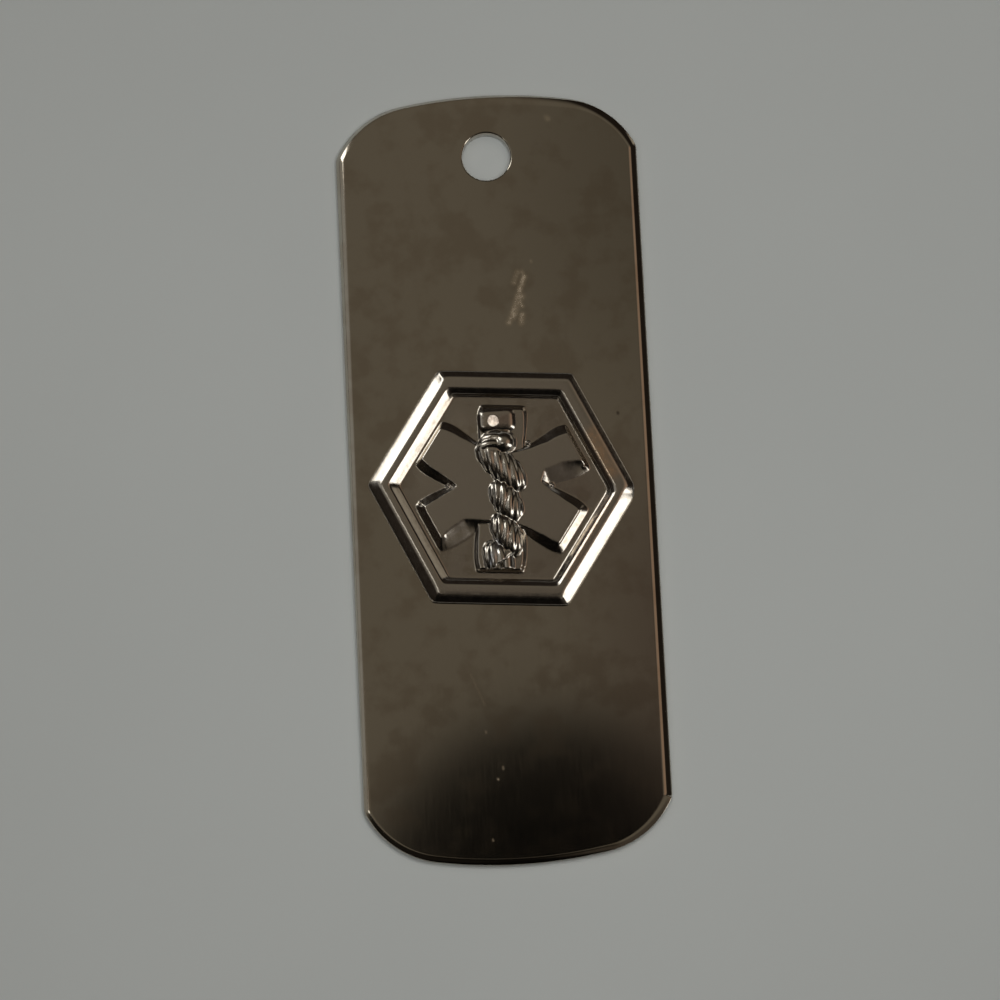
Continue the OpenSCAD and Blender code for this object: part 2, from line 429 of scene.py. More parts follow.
def plate_steel(settings, groups):
    """Rolled steel sheet with dull blotches, grain and handling scratches, the scratches lightened
    as a painted highlight.
    """
    material, t, shader, where = new_material("plate_steel_worn_with_painted_gleam")
    dull = use(t, groups["blotches"], Vector=where, Scale=420.0)["Mask"]
    grain = use(t, groups["grain"], Vector=where)

    def mark(start, end, width):
        z = settings.sheet
        return use(
            t, groups["stroke"], Vector=where, From=(start[0] * MM, start[1] * MM, z),
            To=(end[0] * MM, end[1] * MM, z), Width=width * MM,
        )["Mask"]

    marks = None
    for start, end, width, strength in FACE_SCRATCHES:
        mask = t.math("MULTIPLY", mark(start, end, width), strength)
        marks = mask if marks is None else t.math("MAXIMUM", marks, mask)
    hair = use(t, groups["hair"], Vector=where, Angle=0.15)["Mask"]
    base = t.mix(dull, settings.steel, settings.tarnish)
    # The scratches are painted lighter than the steel: a painted highlight
    base = t.mix(marks, base, SCRATCH_GLEAM)
    base = t.mix(mark(*DARK_SPECK), base, DIRT)
    rough = t.ramp(grain["Lines"], 0.2, 0.8, settings.roughness - 0.004, settings.roughness + 0.01)
    rough = t.math("ADD", rough, t.math("MULTIPLY", dull, 0.015))
    rough = t.math("ADD", rough, t.math("MULTIPLY", marks, 0.35))
    height = t.math("ADD", grain["Height"], t.math("MULTIPLY", hair, -0.4))
    bump = t.add("ShaderNodeBump", {"Height": height, "Strength": 0.008, "Distance": 0.00001})
    t.tree.links.new(base, shader.inputs["Base Color"])
    t.tree.links.new(rough, shader.inputs["Roughness"])
    t.tree.links.new(bump.outputs[0], shader.inputs["Normal"])
    return material


# Tinted places on the badge, in its own frame: from, to and width in millimetres, colour and
# strength. The first three tint the frame's upper and lower right sides and the knob; the last,
# bluish white on the serpent's tail, is a painted highlight
BADGE_MARKS = (
    ((5.75, 3.6), (7.05, 1.15), 0.95, (0.95, 0.66, 0.42), 0.8),
    ((4.35, -5.75), (6.85, -0.7), 0.60, (0.66, 0.48, 0.36), 0.8),
    ((-0.75, 4.4), (0.35, 4.5), 1.1, (0.50, 0.40, 0.34), 0.8),
    # A painted highlight: the bright bluish white blob on the serpent's tail
    ((-0.2, -3.6), (-0.7, -5.0), 0.5, (0.78, 0.82, 0.90), 0.8),
)
# Middle of the knob's worn spot on the badge
WORN_SPOT = (-0.70, 4.34)


def on_badge(settings, x, y):
    """A point of the badge's own frame, at height 0 in the tag's frame and in metres."""
    place = Matrix.Rotation(settings.turn, 2) @ Vector((x, y))
    return (place.x * MM, place.y * MM - settings.drop, 0.0)


def badge_steel(settings, groups):
    """Struck steel, bright on its raised forms and dull down in the field, with tints and a painted
    highlight on the serpent's tail.
    """
    material, t, shader, where = new_material("badge_steel_worn_with_painted_glint")
    height_up = t.add("ShaderNodeSeparateXYZ", {0: where}).outputs[2]
    # The field is dull up to this height over the badge's underside, and then less and less
    dull_height, fade = 0.27 * MM, 0.12 * MM
    floor = FACE_HEIGHT * MM + settings.gap + dull_height
    low = t.ramp(height_up, floor, floor + fade, 1.0, 0.0)
    patch = use(t, groups["blotches"], Vector=where, Scale=900.0)["Mask"]
    grime = t.math("MULTIPLY", low, t.ramp(patch, 0.0, 1.0, 0.5, 1.0))
    grain = use(t, groups["grain"], Vector=where, Pitch=(5000.0, 3000.0, 3000.0))
    base = t.mix(grime, settings.steel, settings.grime)
    rough = t.ramp(grain["Lines"], 0.2, 0.8, settings.roughness - 0.03, settings.roughness + 0.05)
    rough = t.math("ADD", rough, t.math("MULTIPLY", grime, 0.04))
    # The marks are strokes on the flattened relief, so that they run over all its heights
    flat = t.vector("MULTIPLY", where, (1.0, 1.0, 0.0))
    # Each mark tints the colour along a stroke; the tail's bluish white one is a painted highlight
    for start, end, width, tint, strength in BADGE_MARKS:
        mask = use(
            t, groups["stroke"], Vector=flat, From=on_badge(settings, *start),
            To=on_badge(settings, *end), Width=width * MM)["Mask"]
        base = t.mix(t.math("MULTIPLY", mask, strength), base, tint)
        rough = t.math("ADD", rough, t.math("MULTIPLY", mask, 0.05))
    spot = on_badge(settings, *WORN_SPOT)
    polished = use(
        t, groups["stroke"], Vector=flat, From=spot, To=(spot[0], spot[1] + 0.01 * MM, 0.0),
        Width=0.7 * MM)["Mask"]
    rough = t.math("SUBTRACT", rough, t.math("MULTIPLY", polished, 0.1))
    bump = t.add(
        "ShaderNodeBump", {"Height": grain["Height"], "Strength": 0.08, "Distance": 0.00001})
    t.tree.links.new(base, shader.inputs["Base Color"])
    t.tree.links.new(rough, shader.inputs["Roughness"])
    t.tree.links.new(bump.outputs[0], shader.inputs["Normal"])
    return material


# The blank


def spin_on(middle, turn, steps):
    """Spins the newest vertex, the one selected, against the clock round a middle point."""
    bpy.ops.mesh.spin(
        steps=steps, angle=-turn, center=(middle[0], middle[1], 0.0), axis=(0.0, 0.0, 1.0)
    )


def draw_end(settings, turn, upper):
    """Draws one end of the blank's outline from its right side to its left, for the upper end,
    or from left to right, for the lower one, as a chain of arcs spun from a single vertex."""
    shoulder_steps, broad_steps = 16, 40
    half = settings.tag_width / MM / 2
    shoulder = settings.shoulder_radius / MM
    broad = settings.end_radius / MM
    x = half - shoulder * math.cos(settings.corner_angle)
    middle_y = settings.tag_length / MM / 2 - broad
    y = middle_y + math.sqrt((broad - shoulder) ** 2 - x**2)
    meet = math.atan2(y - middle_y, x)
    sign = 1 if upper else -1
    spread = Matrix.Rotation(turn, 2)
    pivot = Vector((0.0, sign * y))

    def placed(px, py):
        return pivot + spread @ (Vector((sign * px, sign * py)) - pivot)

    first, broad_middle, last = placed(x, y), placed(0.0, middle_y), placed(-x, y)
    begin = math.acos((half - abs(first.x)) / shoulder)
    finish = math.acos((half - abs(last.x)) / shoulder)
    start = (sign * half, first.y + sign * shoulder * math.sin(begin))
    bpy.ops.mesh.primitive_plane_add(size=1.0, location=(0, 0, 0))
    obj = named("upper_end" if upper else "lower_end")
    edit(obj)
    pick_all()
    bpy.ops.mesh.merge(type="CENTER")
    bpy.ops.transform.translate(value=(start[0], start[1], 0.0))
    spin_on(first, meet + turn - begin, shoulder_steps)
    spin_on(broad_middle, math.pi - 2 * meet, broad_steps)
    spin_on(last, meet - turn - finish, shoulder_steps)
    close_edit()
    return obj


def rim_rings(settings, outward, y):
    """The rim above one point of the outline: how far in and how high each ring lies. The right
    side curls over steeply, the left one has a sheared lip and a long gentle roll."""
    # Slope of the roll's foot in degrees, how much less it is at the top and at the lower right,
    # and how much more on the right side
    plain, eased, steeper = 18, 10, 24
    lip_slope, under_lip, crease, first_step, steps = 1.3, 0.1, 0.04, 0.02, 8
    sheet, roll = settings.sheet / MM, settings.roll / MM

    # How far up the tag the point lies, and how much it faces each way, from 0 to 1
    up = (1 + y / (settings.tag_length / MM / 2)) / 2
    left = (1 - outward.x) / 2
    top = max(0.0, outward.y)
    lower_end = outward.y < -0.3
    right = 0.0 if lower_end else min(1.0, max(0.0, outward.x / 0.6))
    low_right = min(1.0, max(0.0, outward.x / 0.3)) if lower_end else 0.0

    lip = settings.lip / MM * (left**2 + 0.6 * top * (1 - right) ** 2) * (0.3 + 0.7 * up)
    tilt = math.radians(plain - eased * max(top, low_right) + steeper * right)
    width = roll * (1 - 0.45 * left * (1 - up))
    rise = width * math.tan(tilt) / 2
    foot = sheet - rise
    rings = [(0.0, foot - lip_slope * lip - under_lip), (0.0, foot - lip_slope * lip)]
    # Two rings close together keep the crease above the lip crisp
    rings += [((1 - crease) * lip, foot - crease * lip_slope * lip), (lip, foot)]
    for k in range(steps + 1):
        share = max(first_step, k / steps)
        rings.append((lip + width * share, sheet - rise * (1 - share) ** 2))
    return rings


def raise_rim(settings, obj):
    """Extrudes the open mesh's one face upwards ring by ring, over the blank's rim."""
    cage = bmesh.from_edit_mesh(obj.data)
    cage.faces.ensure_lookup_table()
    outline = [v.co.copy() for v in cage.faces[0].verts]
    area = sum(a.x * b.y - b.x * a.y for a, b in zip(outline, outline[1:] + outline[:1]))
    # Each outline point with its outward direction and its rings, found by where it lies now
    places = {}
    for k, here in enumerate(outline):
        along = (outline[(k + 1) % len(outline)] - here).normalized()
        along += (here - outline[k - 1]).normalized()
        outward = Vector((along.y, -along.x, 0.0)).normalized() * math.copysign(1.0, area)
        places[tuple(here)] = (here, outward, rim_rings(settings, outward, here.y))
    for ring in range(len(next(iter(places.values()))[2])):
        bpy.ops.mesh.extrude_region_move()
        cage = bmesh.from_edit_mesh(obj.data)
        moved = {}
        for v in cage.verts:
            if v.select:
                here, outward, rings = places[tuple(v.co)]
                inward, height = rings[ring]
                v.co = here - outward * inward + Vector((0.0, 0.0, height))
                moved[tuple(v.co)] = (here, outward, rings)
        places = moved
        bmesh.update_edit_mesh(obj.data)


def build_blank(settings):
    """The sheet: two spun ends joined into an outline, raised ring by ring to its rim and holed."""
    sheet = settings.sheet / MM
    hole_radius = settings.hole / MM / 2
    hole_y = (settings.tag_length / 2 - settings.hole_inset) / MM
    # The two sides are the only edges of the outline that are longer than this
    long_edge = 5.0
    obj = join("blank", [
        draw_end(settings, 0.0, True), draw_end(settings, settings.lower_turn, False)])
    edit(obj)
    # The loose ends of the two chains are bridged by the parallel sides
    pick("VERT", lambda v: len(v.link_edges) == 1 and v.co.x > 0)
    bpy.ops.mesh.edge_face_add()
    pick("VERT", lambda v: len(v.link_edges) == 1 and v.co.x < 0)
    bpy.ops.mesh.edge_face_add()
    pick_all()
    bpy.ops.mesh.edge_face_add()
    pick("VERT", lambda v: max(e.calc_length() for e in v.link_edges) > long_edge)
    bpy.ops.mesh.bevel(
        offset=settings.nick / MM, segments=6, profile=0.5, affect="VERTICES")
    # The sides are cut with the face away, so that the cuts don't run across it
    pick_all()
    bpy.ops.mesh.delete(type="ONLY_FACE")
    pick("EDGE", lambda e: e.calc_length() > long_edge)
    bpy.ops.mesh.subdivide(number_cuts=15)
    pick_all()
    bpy.ops.mesh.edge_face_add()
    pick("FACE", lambda f: True)
    raise_rim(settings, obj)
    pick_all()
    bpy.ops.mesh.remove_doubles(threshold=0.0002)
    bpy.ops.mesh.normals_make_consistent(inside=False)
    pick("EDGE", lambda e: all(v.co.z < 0.001 for v in e.verts))
    bpy.ops.mesh.bevel(offset=settings.burr / MM, segments=2, profile=0.5)
    close_edit()

    bpy.ops.mesh.primitive_cylinder_add(
        vertices=96, radius=hole_radius, depth=3 * sheet, location=(0.0, hole_y, sheet / 2))
    punch = named("punch")
    apply_modifier(obj, "BOOLEAN", operation="DIFFERENCE", solver="EXACT", object=punch)
    bpy.data.objects.remove(punch)

    def on_rim(e, z):
        return all(
            abs(v.co.z - z) < 0.001 and math.hypot(v.co.x, v.co.y - hole_y) < hole_radius + 0.01
            for v in e.verts)

    edit(obj)
    pick("EDGE", lambda e: on_rim(e, sheet))
    bpy.ops.mesh.bevel(offset=settings.hole_lip / MM, segments=4, profile=0.5)
    pick("EDGE", lambda e: on_rim(e, 0.0))
    bpy.ops.mesh.bevel(offset=settings.burr / MM, segments=2, profile=0.5)
    # A narrow inset keeps the flats' shading flat up to the rounded edges
    pick("FACE", lambda f: abs(f.normal.z) > 0.999 and f.calc_area() > 0.5)
    bpy.ops.mesh.inset(thickness=0.03, use_even_offset=True)
    close_edit()
    return settle(obj)


# The badge, round its own middle, its underside at height 0


# The frame's profile from its foot inwards, over the rounded ridge and down to the field:
# height, then distance from the middle to the flats on the broad sides (the two on the left),
# the crisp ones (top, upper right and bottom) and the worn one (lower right), in millimetres
RIDGE = (
    (0.0, 7.65, 7.65, 7.65), (0.23, 7.65, 7.65, 7.65), (0.26, 7.61, 7.65, 7.61),
    (0.34, 7.45, 7.63, 7.45), (0.485, 7.12, 7.36, 7.12), (0.524, 7.03, 7.28, 7.03),
    (0.550, 6.95, 7.20, 6.95), (0.566, 6.87, 7.08, 6.87), (0.572, 6.80, 6.90, 6.80),
    (0.572, 6.52, 6.52, 6.52), (0.556, 6.45, 6.42, 6.44), (0.520, 6.38, 6.34, 6.36),
    (0.400, 6.21, 6.11, 6.20), (0.184, 5.90, 6.05, 5.98), (0.158, 5.84, 6.00, 5.90),
    (0.150, 5.76, 5.90, 5.80),
)
# How much of each kind a side is: the way that it faces, crisp share, worn share
SIDES = ((30, 1.0, 0.0), (90, 1.0, 0.0), (150, 0.0, 0.0), (210, 0.0, 0.0), (270, 1.0, 0.0),
         (330, 0.0, 1.0))
# Then the field: distance, and the share of its rise that it has reached there
FIELD = ((5.2, 0.05), (4.2, 0.5), (3.2, 0.95), (2.6, 1.0), (1.0, 1.0))


def hexagon_reach(distance, way):
    """Distance to a six-sided outline in one direction: flats whose corners melt together,
    sharply all round but for the ridge's worn corner on the right."""
    crisp, crest, reach_of_wear = 110.0, 6.7, 0.30
    worn = 84.0 if distance > crest else 55.0
    sharpness = crisp - worn * math.exp(-((way / reach_of_wear) ** 2))
    total = 0.0
    for k in range(6):
        facing = math.cos(way - math.radians(30 + 60 * k))
        if facing > 0.1:
            total += (facing / distance) ** sharpness
    return total ** (-1.0 / sharpness)


def side_distance(broad, crisp, worn, way):
    """The ring's distance on the side that lies in one direction, blended at the corners."""
    blend = 60
    total = reached = 0.0
    for facing, crisp_share, worn_share in SIDES:
        weight = max(0.0, math.cos(way - math.radians(facing))) ** blend
        total += weight
        reached += weight * (
            broad + crisp_share * (crisp - broad) + worn_share * (worn - broad))
    return reached / total


def build_badge_frame(s):
    """Six-sided rings, each extruded from the one before it, over the ridge and up the field."""
    steps = 240
    bpy.ops.mesh.primitive_circle_add(vertices=steps, radius=1.0, fill_type="NGON")
    obj = named("badge_frame")
    edit(obj)
    pick_all()
    rings = [(height, distances, 0.0) for height, *distances in RIDGE]
    rings += [(RIDGE[-1][0], [distance] * 3, share) for distance, share in FIELD]
    for k, (height, distances, share) in enumerate(rings):
        if k:
            bpy.ops.mesh.extrude_region_move()
        cage = bmesh.from_edit_mesh(obj.data)
        for v in cage.verts:
            if v.select:
                way = math.atan2(v.co.y, v.co.x)
                reach = hexagon_reach(side_distance(*distances, way), way)
                # The field rises most towards the top
                rise = share * s.field_rise / MM * (1 + math.sin(way)) / 2
                v.co = (reach * math.cos(way), reach * math.sin(way), height + rise)
        bmesh.update_edit_mesh(obj.data)
    pick_all()
    bpy.ops.mesh.normals_make_consistent(inside=False)
    close_edit()
    return obj


# The six arms: angle, how far the arm's top lies under the figure's, then the share of the usual
# half width and the width of the slope on the side against the clock and on the side with the
# clock, and the width of the slope at the end, in degrees and millimetres
ARMS = (
    (30.0, 0.0, (1.0, 0.80), (1.0, 1.55), 0.22),
    (90.0, 0.10, (0.97, 0.38), (0.80, 0.26), 0.50),
    (150.0, 0.0, (1.0, 0.66), (1.0, 0.62), 0.14),
    (210.0, 0.0, (1.0, 1.25), (1.0, 0.62), 0.52),
    (270.0, 0.10, (0.88, 0.30), (0.97, 0.42), 0.24),
    (330.0, 0.0, (1.0, 0.62), (1.0, 0.66), 0.74),
)


def arm_half_width(s, reach):
    """Half the width of an arm's foot at a distance from the badge's middle: barrel shaped."""
    belly, neck, end = 4.3, 2.9, s.arm_reach / MM
    widest, at_neck, at_end = s.arm_width / MM / 2 + 0.15, 1.85, 1.75
    if reach < belly:
        return widest + (at_neck - widest) * min(1.0, (belly - reach) / (belly - neck)) ** 2
    return widest + (at_end - widest) * ((reach - belly) / (end - belly)) ** 2


def build_arm(s, turn, drop, left, right, end_slope):
    """One barrel-shaped arm: a block, subdivided and bulged, whose top is inset into slopes that
    grow from the neck to the belly."""
    reach, top = s.arm_reach / MM, s.figure_top / MM
    inner, foot, first, neck, belly = -1.0, 0.12, 0.16, 1.6, 4.0
    corner, steps = 0.35, 64
    # A slope wider than the first grows sooner, and one wider than the second narrows at the end
    sooner, narrows = 0.85, 0.7
    bpy.ops.mesh.primitive_cube_add(
        size=1.0, location=((reach + inner) / 2, 0, foot / 2),
        scale=(reach - inner, s.arm_width / MM, foot))
    arm = named("arm")
    edit(arm)
    pick("EDGE", lambda e: abs(e.verts[0].co.x - e.verts[1].co.x) > 1.0)
    bpy.ops.mesh.subdivide(number_cuts=steps - 1)
    cage = bmesh.from_edit_mesh(arm.data)
    for v in cage.verts:
        share = left[0] if v.co.y > 0 else right[0]
        v.co.y = math.copysign(arm_half_width(s, v.co.x) * share, v.co.y)
    bmesh.update_edit_mesh(arm.data)
    pick("EDGE", lambda e: abs(e.verts[0].co.z - e.verts[1].co.z) > 0.1
         and e.verts[0].co.x > reach - 0.01)
    bpy.ops.mesh.bevel(offset=corner, segments=5, profile=0.5)
    pick("FACE", lambda f: f.normal.z > 0.9)
    bpy.ops.mesh.inset(thickness=first, depth=top - foot, use_even_offset=True)
    cage = bmesh.from_edit_mesh(arm.data)
    for v in cage.verts:
        if v.co.z > foot + 0.1:
            slope = left[1] if v.co.y > 0 else right[1]
            grown = (v.co.x - neck) / (belly - neck) * max(1.0, slope / sooner)
            grown = min(1.0, max(0.0, grown))
            beyond = max(0.0, (v.co.x - belly) / (reach - belly))
            narrowed = max(0.0, slope - narrows) * beyond**1.5
            v.co.y -= math.copysign((slope - first) * grown - narrowed, v.co.y)
            if v.co.x > reach - first - corner:
                v.co.x -= end_slope - first
    bmesh.update_edit_mesh(arm.data)
    close_edit()
    arm.location = (0.0, 0.0, -drop)
    arm.rotation_euler = (0.0, 0.0, math.radians(turn))
    apply_place()
    return arm


def build_figure(s):
    """The six arms of the struck figure."""
    return join("six_armed_figure", [build_arm(s, *arm) for arm in ARMS])


# Small rubbed domes at the arms' corners, which catch the light: place on the badge, half the
# length, half the width, height of the top and the direction of the length, in degrees
DOMES = (
    ((-5.02, 2.25), 0.17, 0.11, 0.33, 60.0), ((-3.55, 0.0), 0.13, 0.13, 0.42, 0.0),
    ((3.20, 0.20), 0.14, 0.14, 0.43, 0.0), ((-5.28, -1.15), 0.13, 0.13, 0.32, 0.0),
    ((5.28, 1.50), 0.14, 0.14, 0.36, 0.0), ((1.62, 2.95), 0.12, 0.12, 0.44, 0.0),
)


def build_domes():
    """The rubbed domes, each a sphere pressed flat."""
    domes = []
    half_height = 0.09
    for (x, y), long, wide, top, way in DOMES:
        bpy.ops.mesh.primitive_uv_sphere_add(
            segments=24, ring_count=16, radius=1.0, location=(x, y, top - half_height),
            rotation=(0.0, 0.0, math.radians(way)), scale=(long, wide, half_height))
        domes.append(named("dome"))
    return domes


# The knob's profile: distance inwards from its outline and height over its foot, in millimetres
KNOB = (
    (0.0, 0.0), (0.0, 0.23), (0.02, 0.245), (0.18, 0.338), (0.22, 0.358), (0.29, 0.375),
    (0.4, 0.390), (0.5, 0.398),
)


def build_knob(s):
    """The staff's square knob: a block with round corners, extruded and inset upwards into a
    low dome, and the small round worn spot on it."""
    base, wide, tall, corner = 0.15, 2.5, 1.64, 0.55
    spot_radius, spot_middle, spot_slope, spot_facing = 0.40, 0.513, 9.0, 213.0
    bpy.ops.mesh.primitive_plane_add(size=1.0, location=(-0.13, 4.43, base))
    knob = bpy.context.object
    knob.scale = (wide, tall, 1.0)
    named("knob")
    edit(knob)
    pick_all()
    bpy.ops.mesh.bevel(offset=corner, segments=10, profile=0.5, affect="VERTICES")
    last_in, last_up = 0.0, 0.0
    for inward, up in KNOB:
        if inward > last_in:
            bpy.ops.mesh.inset(thickness=inward - last_in, depth=0.0, use_even_offset=True)
            bpy.ops.transform.translate(value=(0.0, 0.0, up - last_up))
        elif up > 0.0:
            bpy.ops.mesh.extrude_region_move(
                TRANSFORM_OT_translate={"value": (0.0, 0.0, up - last_up)})
        last_in, last_up = inward, up
    bpy.ops.mesh.poke()
    pick_all()
    bpy.ops.mesh.normals_make_consistent(inside=False)
    close_edit()
    bpy.ops.mesh.primitive_cylinder_add(
        vertices=48, radius=spot_radius, depth=0.2, location=(-0.34, 4.38, spot_middle))
    spot = bpy.context.object
    spot.rotation_euler = tilt_towards(spot_slope, spot_facing - math.degrees(s.turn + s.lean))
    named("worn_spot")
    edit(spot)
    pick("EDGE", lambda e: all(v.co.z > spot_middle for v in e.verts))
    bpy.ops.mesh.bevel(offset=0.03, segments=3, profile=0.5)
    # A narrow inset keeps the spot's top shaded flat
    pick("FACE", lambda f: f.normal.z > 0.98 and f.calc_area() > 0.1)
    bpy.ops.mesh.inset(thickness=0.01, use_even_offset=True)
    close_edit()
    return [knob, spot]


def tilt_towards(slope, facing):
    """The turn that leans an upright piece's top by slope towards a direction, in degrees."""
    lean = Matrix.Rotation(math.radians(slope), 3, "Y")
    spin = Matrix.Rotation(math.radians(facing), 3, "Z")
    return (spin @ lean @ spin.transposed()).to_euler()


# Lower end of the staff, in the staff's own frame, and the serpent's thickness as a share of
# its width
STAFF_FOOT = -5.35
FLATNESS = 0.45
# The serpent's head, a stretched ball 1 mm across
HEAD_PLACE = (0.28, 2.93, 0.47)
HEAD_STRETCH = (1.45, 1.5, 0.9)


def build_staff(s):
    """The staff's rod, which stands a little out of the figure."""
    proud = 0.17
    top = s.figure_top / MM + proud
    radius = s.staff / MM / 2
    upper, lower = 3.7, STAFF_FOOT
    bpy.ops.mesh.primitive_cylinder_add(
        vertices=40, radius=radius, depth=upper - lower,
        location=(0, (upper + lower) / 2, top - radius), rotation=(math.radians(90), 0, 0))
    return [named("rod")]


def serpent_line(s):
    """Points of the serpent's middle line in the staff's frame, each with the body's width."""
    turns, past_last, steps = 3, 60, 300
    last = 360 * turns + past_last
    # In front of the staff the coils' top lies this far over the level, and behind it under it
    level, rise, sink = 0.45, 0.41, 0.03
    # How far the coils swing to the side at the head, along the staff and at the tail
    wide, narrow, end_reach = 0.85, 0.32, 0.85
    slant, head_y, neck_drop, tail_clear = 0.8, HEAD_PLACE[1], 0.4, 1.3
    # The body is thinner where it passes behind, and flares at the tail
    pinch, flare = 0.35, 0.35
    swing_in, swing_out, lean_in = 0.3, 0.85, 0.3
    neck_width, tail_width = s.body / MM, s.tail / MM
    top = head_y - neck_drop - slant * wide
    foot = STAFF_FOOT + tail_clear - slant * end_reach
    drop = (top - foot) / turns

    def ease(t):
        return (1 - math.cos(math.pi * min(1.0, max(0.0, t)))) / 2

    points = []
    for i in range(steps + 1):
        # The first quarter turn is the neck
        a = -90 + (last + 90) * i / steps
        share = max(0.0, a / last)
        front = -math.sin(math.radians(a)) if a < 0 else math.sin(math.radians(a))
        sunk = (1 - front) / 2
        width = neck_width + (tail_width - neck_width) * share
        width *= (1 - pinch * sunk) * (1 + flare * share**14)
        if share < swing_out:
            reach = wide + (narrow - wide) * ease(share / swing_in)
        else:
            reach = narrow + (end_reach - narrow) * ease((share - swing_out) / (1 - swing_out))
        c = math.cos(math.radians(a))
        x = lean_in * ease(share * 6) * (1 - share) - reach * c
        y = top - drop * max(0.0, a) / 360 + slant * reach * (1.0 if a < 0 else c)
        y += neck_drop * ease(-a / 90) if a < 0 else 0.0
        z = level + rise - FLATNESS * width / 2 - (rise + sink) * sunk**1.6
        points.append((x, y, z, width))
    return points


def build_serpent(s):
    """A curve that winds down the staff, with a lobed section that twists along it like scales
    in rows, made a mesh and pressed flat."""
    bpy.ops.curve.primitive_bezier_circle_add()
    section = bpy.context.object
    section.data.splines.clear()
    outline = section.data.splines.new("POLY")
    points_per_row = 12
    corners = points_per_row * s.scale_rows
    outline.points.add(corners - 1)
    outline.use_cyclic_u = True
    for k, point in enumerate(outline.points):
        a = 2 * math.pi * k / corners
        reach = 1.0 - s.scale_depth * (1.0 - abs(math.sin(s.scale_rows * a / 2)))
        point.co = (reach * math.cos(a), reach * math.sin(a), 0.0, 1.0)

    bpy.ops.curve.primitive_bezier_curve_add()
    body = bpy.context.object
    line = serpent_line(s)
    body.data.splines.clear()
    spline = body.data.splines.new("POLY")
    spline.points.add(len(line) - 1)
    turned, last = 0.0, None
    for point, (x, y, z, width) in zip(spline.points, line):
        place = Vector((x, y, z))
        if last is not None:
            turned += s.scale_twist * (place - last).length / (width / 2)
        last = place
        point.co = (x, y, z / FLATNESS, 1.0)
        point.radius = width / 2
        point.tilt = turned
    body.data.dimensions = "3D"
    body.data.bevel_mode = "OBJECT"
    body.data.bevel_object = section
    body.data.use_fill_caps = True
    work_on(body)
    apply_place()
    bpy.ops.object.convert(target="MESH")
    body = bpy.context.object
    body.name = body.data.name = "serpent"
    bpy.data.objects.remove(section)
    edit(body)
    pick_all()
    bpy.ops.mesh.remove_doubles(threshold=0.0001)
    bpy.ops.mesh.normals_make_consistent(inside=False)
    bpy.ops.transform.resize(value=(1.0, 1.0, FLATNESS), center_override=(0.0, 0.0, 0.0))
    close_edit()
    bpy.ops.mesh.primitive_uv_sphere_add(
        segments=32, ring_count=20, radius=0.5, location=HEAD_PLACE, scale=HEAD_STRETCH)
    return [body, named("serpent_head")]


def lean_with_staff(s, pieces):
    """Turns pieces made upright in the staff's own frame to the staff's lean."""
    for piece in pieces:
        work_on(piece)
        piece.rotation_euler = (0, 0, s.lean)
        apply_place()
    return pieces


def build_badge(s):
    """The badge's struck forms, fused into one relief and softened, with the knob set on it."""
    # The underside is cut off this high, above the edge that the remesh has rounded
    cut = 0.02
    carved = [build_badge_frame(s), build_figure(s), *build_domes()]
    obj = join("badge", carved + lean_with_staff(s, build_staff(s) + build_serpent(s)))
    apply_modifier(obj, "REMESH", mode="VOXEL", voxel_size=s.grain / MM, use_smooth_shade=True)
    apply_modifier(obj, "SMOOTH", factor=0.5, iterations=2)
    edit(obj)
    pick_all()
    bpy.ops.mesh.bisect(plane_co=(0, 0, cut), plane_no=(0, 0, 1), use_fill=True, clear_inner=True)
    close_edit()
    obj = join("badge", [obj] + lean_with_staff(s, build_knob(s)))
    return settle(obj, s.turn, (0.0, -s.drop / MM, FACE_HEIGHT + s.gap / MM - cut))


# The stage


def sky_patch(t, given):
    """A soft round patch of the surroundings, by direction."""
    cosine = t.vector("DOT_PRODUCT", given["Direction"], given["Towards"], output=1)
    return {"Share": t.ramp(cosine, given["Rim"], given["Core"])}


def towards(zenith, azimuth):
    """A direction by its angles from straight up and from +X, in degrees."""
    z, a = math.radians(zenith), math.radians(azimuth)
    return Vector((math.sin(z) * math.cos(a), math.sin(z) * math.sin(a), math.cos(z)))


# Soft patches of the surroundings that the steel mirrors: angle from straight up, direction
# from +X, radius of the core and of the rim, all in degrees, and the colour
SURROUNDINGS = (
    (76.0, 34.0, 4.0, 12.0, (0.38, 0.34, 0.28)),
    (36.0, 248.0, 20.0, 29.0, (0.003, 0.0026, 0.0022)),
    (15.0, 262.0, 9.5, 13.0, (0.003, 0.0026, 0.0022)),
    (21.0, 230.0, 10.0, 15.0, (0.012, 0.010, 0.008)),
    (17.0, -44.0, 7.0, 11.0, (0.075, 0.062, 0.050)),
    (1.2, 27.0, 3.05, 3.85, (0.002, 0.002, 0.002)),
    (14.6, 65.0, 1.0, 6.5, (0.100, 0.086, 0.066)),
    (8.1, 42.0, 1.5, 5.0, (0.09, 0.068, 0.055)),
    (32.0, 168.0, 6.0, 15.0, (0.32, 0.31, 0.29)),
    (27.0, 11.0, 8.0, 16.0, (0.34, 0.235, 0.17)),
    (78.0, 214.0, 3.0, 8.0, (0.9, 0.85, 0.75)),
    (15.1, 182.3, 1.6, 2.8, (3.2, 3.1, 2.9)),
)
DARK_WALLS = (0.018, 0.014, 0.011)
PALE_HORIZON = (0.30, 0.30, 0.29)


